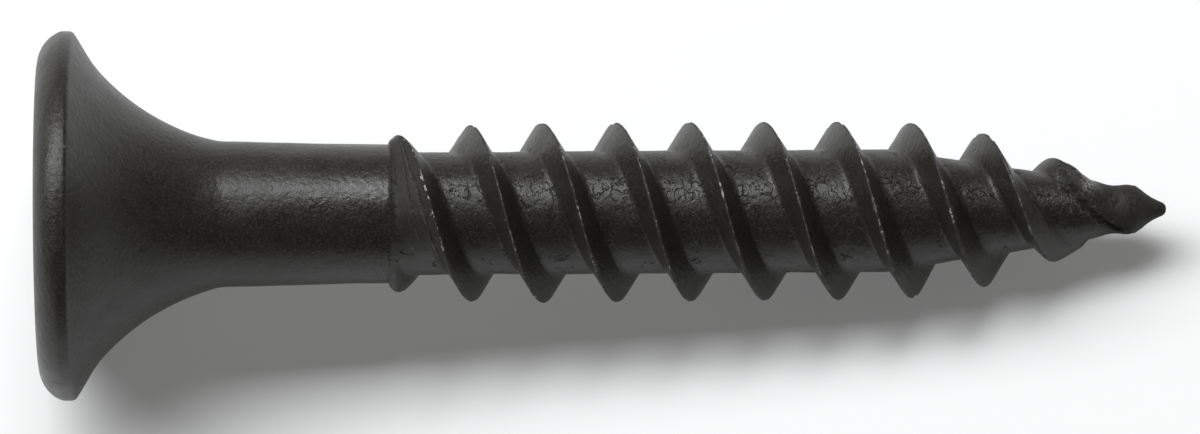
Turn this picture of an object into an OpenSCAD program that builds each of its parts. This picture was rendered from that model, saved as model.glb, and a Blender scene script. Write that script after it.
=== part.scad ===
/* [Overall] */
// Length from the flat of the head to the tip of the point
length = 25; // [22:0.5:50]
// Roll about its own axis as it lies, which settles the crest that touches the ground
rest_roll = 90; // [0:1:359]

/* [Head] */
// Diameter over the rim
head_d = 8.2; // [7:0.1:10]
// Width of the rounded edge between the flat face and the rim
edge_w = 0.75; // [0.3:0.05:1]
// Depth of that rounded edge behind the face
edge_h = 0.52; // [0.2:0.02:0.6]
// Distance from the face to the back of the rim, measured to where its edge would be if it were sharp
rim_w = 0.74; // [0.6:0.02:0.95]
// Radius of that back edge
rim_back_r = 0.12; // [0.04:0.02:0.2]
// Radius of the hollow flare behind the rim
flare_r = 5; // [4:0.1:9]
// Radius that runs the flare out into the shank
neck_fillet_r = 1.2; // [0.5:0.1:1.6]
// Distance from the face to the end of the flare
head_h = 4.2; // [3.4:0.05:5.5]

/* [Cross recess] */
// Width over two opposite wings at the face
recess_w = 4.7; // [3.8:0.1:5]
// Depth from the face to the foot of the wings
recess_depth = 2.2; // [1.6:0.1:2.3]
// Lean of the outer edge of each wing from the axis
recess_taper = 26.5; // [20:0.5:30]
// Thickness of a wing at the face
wing_t = 1.1; // [0.8:0.05:1.3]
// Lean of each side of a wing
wing_draft = 3; // [1:0.5:5]
// Diameter of the round core between the wings, at the face
recess_core_d = 2; // [1.7:0.1:2.6]
// Slope of the cone at the bottom of the recess
recess_floor_slope = 28; // [15:1:35]

/* [Shank] */
// Diameter where the flare ends
neck_d = 3.22; // [3:0.02:3.9]
// Diameter where the thread begins
shank_d = 3.08; // [2.9:0.02:3.6]
// Distance from the face to the end of the shank, where the thread begins
shank_end = 7.72; // [6:0.02:12]

/* [Thread] */
// Diameter over the crests
thread_d = 4; // [3.5:0.05:5]
// Diameter of the core between the threads
core_d = 2.72; // [2.2:0.02:2.88]
// Number of threads wound side by side
starts = 2; // [1, 2]
// Distance from one crest to the next along the screw
crest_gap = 1.636; // [1.2:0.004:2.2]
// Width of the flat on a crest
crest_w = 0.04; // [0.02:0.01:0.1]
// Angle between a flank and a plane square to the axis
flank_angle = 16; // [10:0.5:30]
// Radius of the hollow where a flank meets the core
root_fillet_r = 0.24; // [0.05:0.01:0.3]
// Length over which the thread rises out of the shank to its full height
run_in = 3.3; // [1:0.1:5]
// How steeply it leaves the shank, where 1 is an even climb
run_in_power = 0.4; // [0.3:0.05:1]
// Length over which the end of the shank drops to the core
shoulder_l = 0.45; // [0.1:0.05:0.8]

/* [Point] */
// Length of the tapered end of the core, up to the tip
taper_l = 6.2; // [4:0.1:9]
// Length of the cone that the crests run down to the tip
crest_cone_l = 4.6; // [3:0.1:7]
// Lean of that cone from the axis
crest_cone_angle = 21; // [17:0.5:26]
// Length over which the level crests bend into the cone
crest_bend_l = 0.8; // [0.3:0.1:2]
// Width of the last tooth's flank towards the tip, against that of a full tooth
tip_flank_spread = 1.8; // [1:0.1:2.2]
// Length of the nose past the last of the thread
nose_l = 0.75; // [0.4:0.05:1.5]
// Diameter of the core at the back of the nose
nose_d = 1.04; // [0.6:0.02:1.6]
// Diameter of the blunt tip
tip_d = 0.2; // [0.1:0.02:0.4]

/* [Fineness] */
// Faces round the threaded length
sides = 52; // [32:4:64]
// Straight pieces in each round stretch of the head
arc_steps = 12; // [6:1:24]

/* [Hidden] */
$fn = 96;

head_r = head_d / 2;
neck_r = neck_d / 2;
shank_r = shank_d / 2;
core_r = core_d / 2;
nose_r = nose_d / 2;
lead = starts * crest_gap;
thread_h = (thread_d - core_d) / 2;
taper_start = length - taper_l;
cone_start = length - crest_cone_l;
nose_start = length - nose_l;

// The rolled length starts this far inside the shank and this much thinner, so that the two join cleanly
tuck = 0.3;
die_step = 0.03;
// Cuts run this far past the surface that they open
past = 1;

// Profile of the head and shank: radius and distance from the face

// Points on a circle, from one angle to another
function arc(centre, r, from, to) =
    [for (k = [0:arc_steps]) let (a = from + (to - from) * k / arc_steps) centre + r * [cos(a), sin(a)]];

// Direction of a vector, from 0 to 360 degrees
function bearing(v) = (atan2(v.y, v.x) + 360) % 360;

// Centre of a circle of radius r1 through point p that runs into a smaller one, of radius r2 about c2
function outer_centre(p, r1, c2, r2) =
    let (
        d = norm(c2 - p),
        along = (c2 - p) / d,
        across = [-along.y, along.x],
        reach = (r1 * r1 - pow(r1 - r2, 2) + d * d) / (2 * d)
    )
    p + reach * along - sqrt(r1 * r1 - reach * reach) * across;

edge_r = (edge_w * edge_w + edge_h * edge_h) / (2 * edge_h);
edge_centre = [head_r - edge_w, edge_r];
neck_centre = [neck_r + neck_fillet_r, head_h];
flare_centre = outer_centre([head_r, rim_w], flare_r, neck_centre, neck_fillet_r);
flare_to_neck = bearing(neck_centre - flare_centre);

// The back edge of the rim is a round that touches both the rim and the hollow flare
back_across = head_r - rim_back_r;
back_reach = flare_r + rim_back_r;
back_centre = [back_across, flare_centre.y - sqrt(pow(back_reach, 2) - pow(back_across - flare_centre.x, 2))];

head_profile = concat(
    [[0, 0]],
    arc(edge_centre, edge_r, -90, atan2(edge_h - edge_r, edge_w)),
    arc(back_centre, rim_back_r, 0, atan2(flare_centre.y - back_centre.y, flare_centre.x - back_centre.x)),
    arc(flare_centre, flare_r, bearing(back_centre - flare_centre), flare_to_neck),
    arc(neck_centre, neck_fillet_r, flare_to_neck, 180),
    [[shank_r, shank_end], [0, shank_end]]
);

module head_and_shank() {
    rotate_extrude()
        polygon(head_profile);
}

// Cross recess, cut into the face

wing_foot_w = recess_w - 2 * recess_depth * tan(recess_taper);
wing_foot_t = wing_t - 2 * recess_depth * tan(wing_draft);
core_foot_r = recess_core_d / 2 - recess_depth * tan(wing_draft);

// Outline of a slot that narrows from one width at the face to another at its foot
module narrowing(at_face, at_foot) {
    spread = (at_face - at_foot) / recess_depth * past;
    polygon([
        [-at_foot / 2, recess_depth],
        [at_foot / 2, recess_depth],
        [(at_face + spread) / 2, -past],
        [-(at_face + spread) / 2, -past]
    ]);
}

// A solid of some width along Y, which has the outline of its children seen that way
module upright(width) {
    rotate([90, 0, 0])
        linear_extrude(width, center = true)
            children();
}

// Two opposite wings, narrowing towards their foot both ways
module wing_pair() {
    intersection() {
        upright(recess_w)
            narrowing(recess_w, wing_foot_w);
        rotate(90)
            upright(2 * recess_w)
                narrowing(wing_t, wing_foot_t);
    }
}

module cross_recess() {
    core_spread = past * tan(wing_draft);
    wing_pair();
    rotate(90)
        wing_pair();
    translate([0, 0, -past])
        cylinder(h = recess_depth + past, r1 = recess_core_d / 2 + core_spread, r2 = core_foot_r);
    translate([0, 0, recess_depth])
        cylinder(h = core_foot_r * tan(recess_floor_slope), r1 = core_foot_r, r2 = 0);
}

// Twin thread and point: the radius at any distance from the face and any angle round the axis

// A smooth rise from 0 to 1
function eased(t) = let (x = max(0, min(1, t))) x * x * (3 - 2 * x);

// Radius of the core, which drops from the shank, runs level and then tapers to the nose
function core_at(z) =
    let (
        shoulder = (shank_r - die_step - core_r) * (1 - eased((z - shank_end) / shoulder_l)),
        taper = max(0, z - taper_start) / (nose_start - taper_start) * (core_r - nose_r)
    )
    core_r + shoulder - taper;

// Radius of the crests at full growth: level, then bending into the cone of the point
function crest_at(z) =
    let (x = z - cone_start)
    thread_d / 2 - tan(crest_cone_angle) * (x + norm([x, crest_bend_l])) / 2;

// Height of the thread over the core: it climbs fast out of the shank and sinks away at the point
function height_at(z) =
    let (rise = max(0, min(1, (z - shank_end) / run_in)))
    sin(90 * pow(rise, run_in_power)) * max(0, crest_at(z) - core_at(z));

// Half of a tooth: distance from the middle of the crest, and share of the full height
flank_h = thread_h - root_fillet_r * (1 - sin(flank_angle));
tooth_foot = crest_w / 2 + flank_h * tan(flank_angle) + root_fillet_r * cos(flank_angle);
fillet_steps = 2;
tooth = concat(
    [[0, 1], [crest_w / 2, 1]],
    [
        for (k = [0:fillet_steps])
            let (a = flank_angle + (90 - flank_angle) * k / fillet_steps)
            [tooth_foot - root_fillet_r * cos(a), root_fillet_r * (1 - sin(a)) / thread_h]
    ]
);

// The flank towards the tip gets wider along the point, where the wire was pinched
function spread_at(crest) =
    let (along = (crest - cone_start) / (nose_start - cone_start))
    1 + (tip_flank_spread - 1) * max(0, min(1, along));

// Share of the tooth's height at a point, from its distance to the nearest crest
function share_at(z, angle) =
    let (
        turned = (z - shank_end - lead * angle / 360) / crest_gap,
        off = (turned - round(turned)) * crest_gap
    )
    lookup(off > 0 ? off / spread_at(z - off) : -off, tooth);

function radius_at(z, angle) = core_at(z) + height_at(z) * share_at(z, angle);

// Rows of points follow the helix, so that crests and flanks are clean lines. Each crest has the same rows.
half_rows = [for (k = [1:len(tooth) - 1]) tooth[k][0]];
rows = concat([for (k = [len(half_rows) - 1:-1:0]) -half_rows[k]], half_rows);
first_z = shank_end - tuck;
turns_below = starts + 1;
crests = turns_below + ceil((nose_start - shank_end) / crest_gap) + 1;
row_count = crests * len(rows);

function row_z(i, m) =
    let (
        crest = shank_end + (floor(m / len(rows)) - turns_below) * crest_gap + lead * i / sides,
        off = rows[m % len(rows)],
        z = crest + (off > 0 ? off * spread_at(crest) : off)
    )
    max(first_z, min(nose_start, z));

function spot(z, angle, r) = [r * cos(angle), r * sin(angle), z];

thread_points = [
    for (i = [0:sides - 1], m = [0:row_count - 1])
        let (z = row_z(i, m), angle = 360 * i / sides)
        spot(z, angle, radius_at(z, angle))
];

// One whole turn further on, a column of points is the first again, a lead further up
function at(i, m) =
    i < sides ? i * row_count + min(m, row_count - 1) : at(i - sides, m + starts * len(rows));

thread_faces = [
    for (i = [0:sides - 1], m = [0:row_count - 2])
        let (near = row_z(i, m + 1) > row_z(i, m), far = row_z(i + 1, m + 1) > row_z(i + 1, m))
        each concat(
            far ? [[at(i, m), at(i + 1, m + 1), at(i + 1, m)]] : [],
            near ? [[at(i, m), at(i, m + 1), at(i + 1, m + 1)]] : []
        )
];

// The nose is a short cone with a blunt tip
tip_ring = len(thread_points);
tip_points = [for (i = [0:sides - 1]) spot(length, 360 * i / sides, tip_d / 2)];
function on_tip(i) = tip_ring + i % sides;

nose_faces = [
    for (i = [0:sides - 1])
        let (last = row_count - 1)
        each [
            [at(i, last), on_tip(i + 1), at(i + 1, last)],
            [at(i, last), on_tip(i), on_tip(i + 1)]
        ]
];

module thread_and_point() {
    inner_end = [for (i = [0:sides - 1]) at(i, 0)];
    tip = [for (i = [sides - 1:-1:0]) on_tip(i)];
    polyhedron(
        points = concat(thread_points, tip_points),
        faces = concat([inner_end, tip], thread_faces, nose_faces)
    );
}

// Lying at rest: it leans on the back edge of its rim and on the first crest that reaches the ground

rest_lean = min([
    for (p = thread_points)
        let (
            below = norm([p.x, p.y]) * cos(atan2(p.y, p.x) + rest_roll),
            gap = [back_centre.x - below, p.z - back_centre.y]
        )
        acos(-rim_back_r / norm(gap)) - atan2(gap.y, gap.x)
]);
back_x = edge_centre.y * cos(rest_lean) - edge_centre.x * sin(rest_lean) - edge_r;
front_x = length * cos(rest_lean) + tip_d / 2 * sin(rest_lean);
axis_z = back_centre.y * sin(rest_lean) + back_centre.x * cos(rest_lean) + rim_back_r;

module at_rest() {
    translate([-(back_x + front_x) / 2, 0, axis_z])
        rotate([0, 90 + rest_lean, 0])
            rotate(rest_roll)
                children();
}

module drywall_screw() {
    color([0.15, 0.15, 0.14])
        at_rest() {
            difference() {
                head_and_shank();
                cross_recess();
            }
            thread_and_point();
        }
}

drywall_screw();
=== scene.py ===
"""A black drywall screw with a bugle head, a twin thread and a pinched point, lying on a pale floor."""

import logging
import math
from dataclasses import dataclass, field
from enum import Enum
from functools import reduce
from typing import Any

import bpy
import numpy as np
from mathutils import Matrix


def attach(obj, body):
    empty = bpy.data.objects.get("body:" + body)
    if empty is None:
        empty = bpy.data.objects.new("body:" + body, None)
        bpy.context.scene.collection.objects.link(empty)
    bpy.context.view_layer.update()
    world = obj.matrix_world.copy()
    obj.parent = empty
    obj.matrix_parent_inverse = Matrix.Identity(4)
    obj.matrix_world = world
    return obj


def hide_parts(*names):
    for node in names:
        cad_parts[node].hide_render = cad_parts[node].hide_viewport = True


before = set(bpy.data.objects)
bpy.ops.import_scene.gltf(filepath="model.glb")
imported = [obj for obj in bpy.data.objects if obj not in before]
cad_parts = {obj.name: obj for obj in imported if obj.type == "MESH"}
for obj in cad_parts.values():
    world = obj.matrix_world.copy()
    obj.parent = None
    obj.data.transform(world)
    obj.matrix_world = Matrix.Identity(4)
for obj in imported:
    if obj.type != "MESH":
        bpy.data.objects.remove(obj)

log = logging.getLogger("drywall_screw")

MM = 0.001
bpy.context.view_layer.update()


class Mark(Enum):
    """What the skin of the screw carries at each point, for its finish to read."""

    PLACE = "screw_place"
    THREAD = "thread_place"
    WEAR = "wear_marks"


class Stretch(Enum):
    """Lengths of the screw whose finish carries different marks."""

    PLAIN = "head_and_shank"
    START = "thread_start"
    ROOTS = "thread"
    POINT = "pinched_point"


class Measure(Enum):
    """What is measured in random cells."""

    EDGE = "DISTANCE_TO_EDGE"
    MIDDLE = "F1"


def placed(name: str, data: bpy.types.ID) -> bpy.types.Object:
    """A new object, placed in the scene."""
    made = bpy.data.objects.new(name, data)
    bpy.context.scene.collection.objects.link(made)
    return made


# Shader graph


class Signal:
    """A number, colour or vector that a node gives out, open to arithmetic."""

    def __init__(self, wiring: "Wiring", socket: bpy.types.NodeSocket) -> None:
        """Wraps a socket.

        Args:
            wiring: The graph that the socket belongs to.
            socket: The output socket.
        """
        self.wiring = wiring
        self.socket = socket

    def __add__(self, other: "Feed") -> "Signal":
        """Sum."""
        return self.wiring.maths("ADD", self, other)

    def __radd__(self, other: "Feed") -> "Signal":
        """Sum, from the right."""
        return self.wiring.maths("ADD", other, self)

    def __sub__(self, other: "Feed") -> "Signal":
        """Difference."""
        return self.wiring.maths("SUBTRACT", self, other)

    def __rsub__(self, other: "Feed") -> "Signal":
        """Difference, from the right."""
        return self.wiring.maths("SUBTRACT", other, self)

    def __mul__(self, other: "Feed") -> "Signal":
        """Product."""
        return self.wiring.maths("MULTIPLY", self, other)

    def __rmul__(self, other: "Feed") -> "Signal":
        """Product, from the right."""
        return self.wiring.maths("MULTIPLY", other, self)

    def size(self) -> "Signal":
        """This value without its sign."""
        return self.wiring.maths("ABSOLUTE", self, 0.0)

    def risen(self, low: float, high: float) -> "Signal":
        """Smooth rise of this value.

        Args:
            low: Where the rise starts.
            high: Where it ends; below low for a fall.

        Returns:
            0 before low, 1 past high.
        """
        feeds = {"Value": self, "From Min": low, "From Max": high}
        made = self.wiring.node("ShaderNodeMapRange", {"interpolation_type": "SMOOTHSTEP"}, feeds)
        return self.wiring.signal(made, "Result")

    def within(self, window: "Window") -> "Signal":
        """1 between the middle two numbers of a window, fading to 0 at its ends."""
        return self.risen(window[0], window[1]) * self.risen(window[3], window[2])


Feed = Signal | float | tuple
Colour = tuple[float, float, float, float]
Span = tuple[float, float]
Window = tuple[float, float, float, float]


class Wiring:
    """A node tree and the ways to add nodes to it."""

    def __init__(self, owner: bpy.types.Material | bpy.types.World) -> None:
        """Starts an empty graph.

        Args:
            owner: The material or world that the graph is for.
        """
        owner.use_nodes = True
        self.tree = owner.node_tree
        self.tree.nodes.clear()

    def node(
        self,
        kind: str,
        settings: dict[str, Any] | None = None,
        feeds: dict[str | int, Feed] | None = None,
    ) -> bpy.types.Node:
        """Adds one node.

        Args:
            kind: Its type.
            settings: Its properties, which are set first.
            feeds: Values or signals for its sockets, by name or number.

        Returns:
            The node.
        """
        made = self.tree.nodes.new(kind)
        for name, value in (settings or {}).items():
            setattr(made, name, value)
        for name, feed in (feeds or {}).items():
            if isinstance(feed, Signal):
                self.tree.links.new(feed.socket, made.inputs[name])
            else:
                made.inputs[name].default_value = feed
        return made

    def signal(self, made: bpy.types.Node, output: str | int = 0) -> Signal:
        """One output of a node."""
        return Signal(self, made.outputs[output])

    def maths(self, operation: str, a: Feed, b: Feed) -> Signal:
        """What the Math node makes of two values."""
        return self.signal(self.node("ShaderNodeMath", {"operation": operation}, {0: a, 1: b}))

    def largest(self, signals: list[Signal]) -> Signal:
        """The largest of some values."""
        return reduce(lambda found, signal: self.maths("MAXIMUM", found, signal), signals)

    def scaled(self, place: Signal, by: tuple[float, float, float]) -> Signal:
        """A vector with each part multiplied by its own number."""
        return self.signal(self.node("ShaderNodeVectorMath", {"operation": "MULTIPLY"}, {0: place, 1: by}))

    def shifted(self, place: Signal, by: Signal, amount: float) -> Signal:
        """A vector pushed about by some amount of another."""
        feeds = {0: by, 1: (amount, amount, amount), 2: place}
        return self.signal(self.node("ShaderNodeVectorMath", {"operation": "MULTIPLY_ADD"}, feeds))

    def mark(self, name: Mark) -> Signal:
        """What the skin carries under a name, as a vector."""
        made = self.node("ShaderNodeAttribute", {"attribute_name": name.value})
        return self.signal(made, "Vector")

    def parts(self, place: Signal) -> tuple[Signal, Signal, Signal]:
        """The three parts of a vector."""
        made = self.node("ShaderNodeSeparateXYZ", None, {0: place})
        return self.signal(made, 0), self.signal(made, 1), self.signal(made, 2)

    def turn_and_along(self, place: Signal) -> tuple[Signal, Signal]:
        """Angle round the screw's axis, and distance from its face."""
        x, y, along = self.parts(place)
        return self.maths("ARCTAN2", y, x), along

    def noise(
        self, place: Signal, size: float, detail: float = 2.0, harsh: float = 0.5, output: int = 0
    ) -> Signal:
        """Cloudy noise.

        Args:
            place: Where it is read, in millimetres.
            size: Width of its blots, in millimetres.
            detail: Number of finer layers.
            harsh: Strength of those layers.
            output: 0 for one noise, 1 for a vector of three.

        Returns:
            Values from 0 to 1, mostly near a half.
        """
        feeds = {"Vector": place, "Scale": 1.0 / size, "Detail": detail, "Roughness": harsh}
        return self.signal(self.node("ShaderNodeTexNoise", {"noise_dimensions": "3D"}, feeds), output)

    def mixed(self, share: Feed, under: Feed, over: Feed) -> Signal:
        """Two colours mixed, with a share of the second; sockets 6 and 7 take colours."""
        feeds = {"Factor": share, 6: under, 7: over}
        settings = {"data_type": "RGBA", "clamp_factor": True}
        return self.signal(self.node("ShaderNodeMix", settings, feeds), 2)


@dataclass(frozen=True)
class RolledMarks:
    """Where rolling set the threads and left its marks, which the skin and the finish both follow."""

    start: float = 7.72
    starts: int = 2
    crest_gap: float = 1.636
    start_shift: float = 0.06
    fold_shifts: Span = (-0.20, -0.47)
    seam_from: float = 22.50
    seam_to: float = 24.2
    seam_turn: tuple[float, float, float] = (0.79, 1.38, 0.06)
    seam_radius: float = 0.7
    laps: Span = (math.radians(88), 0.32)

    def lead(self) -> float:
        """How far a thread climbs in one turn."""
        return self.starts * self.crest_gap


@dataclass(frozen=True)
class Blots:
    """Cloudy noise of one size, where it turns into a mask, and the height of its bumps."""

    size: float
    detail: float = 2.0
    harsh: float = 0.5
    edge: Span = (0.0, 1.0)
    depth: float = 0.0

    def noise(self, place: Signal) -> Signal:
        """The noise at a place, from 0 to 1."""
        return place.wiring.noise(place, self.size, self.detail, self.harsh)

    def mask(self, place: Signal) -> Signal:
        """1 in the blots and 0 between them."""
        return self.noise(place).risen(*self.edge)


@dataclass(frozen=True)
class Cells:
    """Random cells of one size, and where what is measured in them turns into a mask."""

    size: float
    measure: Measure
    edge: Span

    def mask(self, place: Signal) -> Signal:
        """1 where the measure is small, along the edges or in the middles of the cells."""
        feeds = {"Vector": place, "Scale": 1.0 / self.size}
        made = place.wiring.node("ShaderNodeTexVoronoi", {"feature": self.measure.value}, feeds)
        return place.wiring.signal(made, "Distance").risen(*self.edge)


@dataclass(frozen=True)
class Reading:
    """What a finish reads at a place: the marks of the skin, and three noises."""

    place: Signal
    off_crest: Signal
    height: Signal
    crowd: Signal
    wear: Signal
    burnish: Signal
    fleck: Signal
    grain: Signal
    leather: Signal
    mottle: Signal


@dataclass(frozen=True)
class RootLaps:
    """Branching laps, which rolling leaves in the roots of the thread: a shallow bump, darkened with
    painted shade.
    """

    push_size: float = 0.22
    push: float = 0.26
    laps: Cells = Cells(0.30, Measure.EDGE, (0.06, 0.015))
    crowding: float = 0.12
    clouds: Span = (0.58, 0.66)
    branches: Cells = Cells(0.165, Measure.EDGE, (0.07, 0.02))
    squeeze: tuple[float, float, float] = (1.0, 1.0, 1.6)
    branch_crowding: float = 0.09
    branch_clouds: Span = (0.40, 0.33)
    branch_strength: float = 0.7
    root: Span = (0.12, 0.03)
    # How dark the painted shade in the laps is.
    painted_shade: float = 0.6
    depth: float = 0.016

    def mask(self, r: Reading) -> Signal:
        """Finds the laps.

        Args:
            r: What the finish reads.

        Returns:
            1 in a lap.
        """
        w = r.place.wiring
        pushed = w.shifted(r.place, w.noise(r.place, self.push_size, output=1), self.push)
        laps = self.laps.mask(pushed) * (r.mottle + r.crowd * self.crowding).risen(*self.clouds)
        branches = self.branches.mask(w.scaled(pushed, self.squeeze)) * self.branch_strength
        branches = branches * (r.mottle - r.crowd * self.branch_crowding).risen(*self.branch_clouds)
        return w.largest([laps, branches]) * r.height.risen(*self.root)


@dataclass(frozen=True)
class StartFolds:
    """The folds that run beside the first thread where it starts."""

    marks: RolledMarks = RolledMarks()
    bow: Window = (7.88, 8.33, 9.05, 9.55)
    ends: tuple[Span, Span] = ((9.55, 9.15), (8.55, 8.15))
    waver: float = 0.09
    torn: Blots = Blots(0.10, 2.0, 0.6, (0.42, 0.52))
    patches: Blots = Blots(0.45, 1.0, 0.5, (0.44, 0.56))
    groove: Span = (0.060, 0.005)
    groove_grown: Span = (0.02, 0.3)
    groove_least: float = 0.35
    groove_torn: float = 0.5
    lip: Span = (0.022, 0.006)
    lip_grown: Span = (0.1, 0.5)
    lip_offset: float = 0.05

    def masks(self, r: Reading) -> tuple[Signal, Signal]:
        """Finds the folds.

        Args:
            r: What the finish reads.

        Returns:
            1 in a fold, and 1 on the lips beside it.
        """
        w, m = r.place.wiring, self.marks
        turn, along = w.turn_and_along(r.place)
        off = along - (m.start + m.start_shift) - turn * (m.lead() / (2 * math.pi))
        bow = along.within(self.bow)
        torn = self.torn.mask(r.place)
        flaked = torn * self.patches.mask(r.place)
        grooves, lips = [], []
        for shift, end in zip(m.fold_shifts, self.ends):
            there = along.risen(*end)
            across = off - bow * shift + (r.leather - 0.5) * self.waver
            groove = across.size().risen(*self.groove) * bow.risen(*self.groove_grown)
            grooves.append(groove * there * (torn * self.groove_torn + self.groove_least))
            lip = (across + self.lip_offset).size().risen(*self.lip) * bow.risen(*self.lip_grown)
            lips.append(lip * there * flaked)
        return w.largest(grooves), w.largest(lips)


@dataclass(frozen=True)
class PointSeam:
    """The ragged seam of the pinched point, darkened with painted shade, with bare flakes and strokes
    beside it.
    """

    marks: RolledMarks = RolledMarks()
    waver: float = 0.30
    length: Window = (22.45, 22.60, 24.0, 24.2)
    breadth: Blots = Blots(0.10, 2.0, 0.7, (0.36, 0.62))
    broad: float = 0.15
    narrow: float = 0.012
    top: Span = (23.2, 22.8)
    top_broad: float = 0.05
    brink: Span = (0.02, -0.01)
    crumbs: Blots = Blots(0.05, 2.0, 0.6, (0.50, 0.58))
    flake_offset: float = 0.03
    flake_band: Span = (0.04, 0.01)
    flake_shine: float = 0.9
    strokes: Blots = Blots(0.12, 1.0, 0.5, (0.53, 0.62))
    stroke_squeeze: tuple[float, float, float] = (0.45, 0.45, 2.2)
    stroke_length: Window = (22.10, 22.30, 22.80, 22.95)
    stroke_side: Window = (0.02, 0.12, 0.45, 0.60)
    stroke_shine: float = 0.7

    def masks(self, r: Reading) -> tuple[Signal, Signal]:
        """Finds the seam.

        Args:
            r: What the finish reads.

        Returns:
            1 in the seam, and 1 on the flakes and strokes beside it.
        """
        w, m = r.place.wiring, self.marks
        turn, along = w.turn_and_along(r.place)
        passed = along - m.seam_from
        flat, steep, bent = m.seam_turn
        turned = turn - flat - passed * steep - passed * passed * bent
        across = turned * m.seam_radius + (r.leather - 0.5) * self.waver
        there = along.within(self.length)
        breadth = self.breadth.mask(r.place) * self.broad
        breadth = breadth + along.risen(*self.top) * self.top_broad + self.narrow
        outside = across.size() - breadth
        flakes = (outside - self.flake_offset).size().risen(*self.flake_band) * there
        flakes = flakes * self.crumbs.mask(r.place) * self.flake_shine
        strokes = self.strokes.mask(w.scaled(r.place, self.stroke_squeeze)) * self.stroke_shine
        strokes = strokes * along.within(self.stroke_length) * across.within(self.stroke_side)
        return outside.risen(*self.brink) * there, w.largest([flakes, strokes])


@dataclass(frozen=True)
class CrestWear:
    """The thin broken line of bare metal along each crest, with a few torn bits beside it."""

    waver: float = 0.04
    breaks: Blots = Blots(0.11, 2.0, 0.7, (0.49, 0.60))
    line: Span = (0.017, 0.005)
    line_clouds: Span = (0.42, 0.58)
    line_least: float = 0.2
    line_shine: float = 0.7
    bits: Cells = Cells(0.20, Measure.MIDDLE, (0.17, 0.10))
    bit_reach: Span = (0.10, 0.05)
    bit_clouds: Span = (0.52, 0.58)
    bit_shine: float = 0.35
    grown: Span = (0.1, 0.25)

    def mask(self, r: Reading) -> Signal:
        """Finds the bare metal.

        Args:
            r: What the finish reads.

        Returns:
            1 where the coat is gone.
        """
        wander = r.off_crest + (r.leather - 0.5) * self.waver
        clouds = r.mottle.risen(*self.line_clouds) * (1 - self.line_least) + self.line_least
        line = wander.risen(*self.line) * self.breaks.mask(r.place) * clouds * self.line_shine
        bits = self.bits.mask(r.place) * wander.risen(*self.bit_reach)
        bits = bits * r.mottle.risen(*self.bit_clouds) * self.bit_shine
        return r.place.wiring.largest([line, bits]) * r.height.risen(*self.grown)


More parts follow.
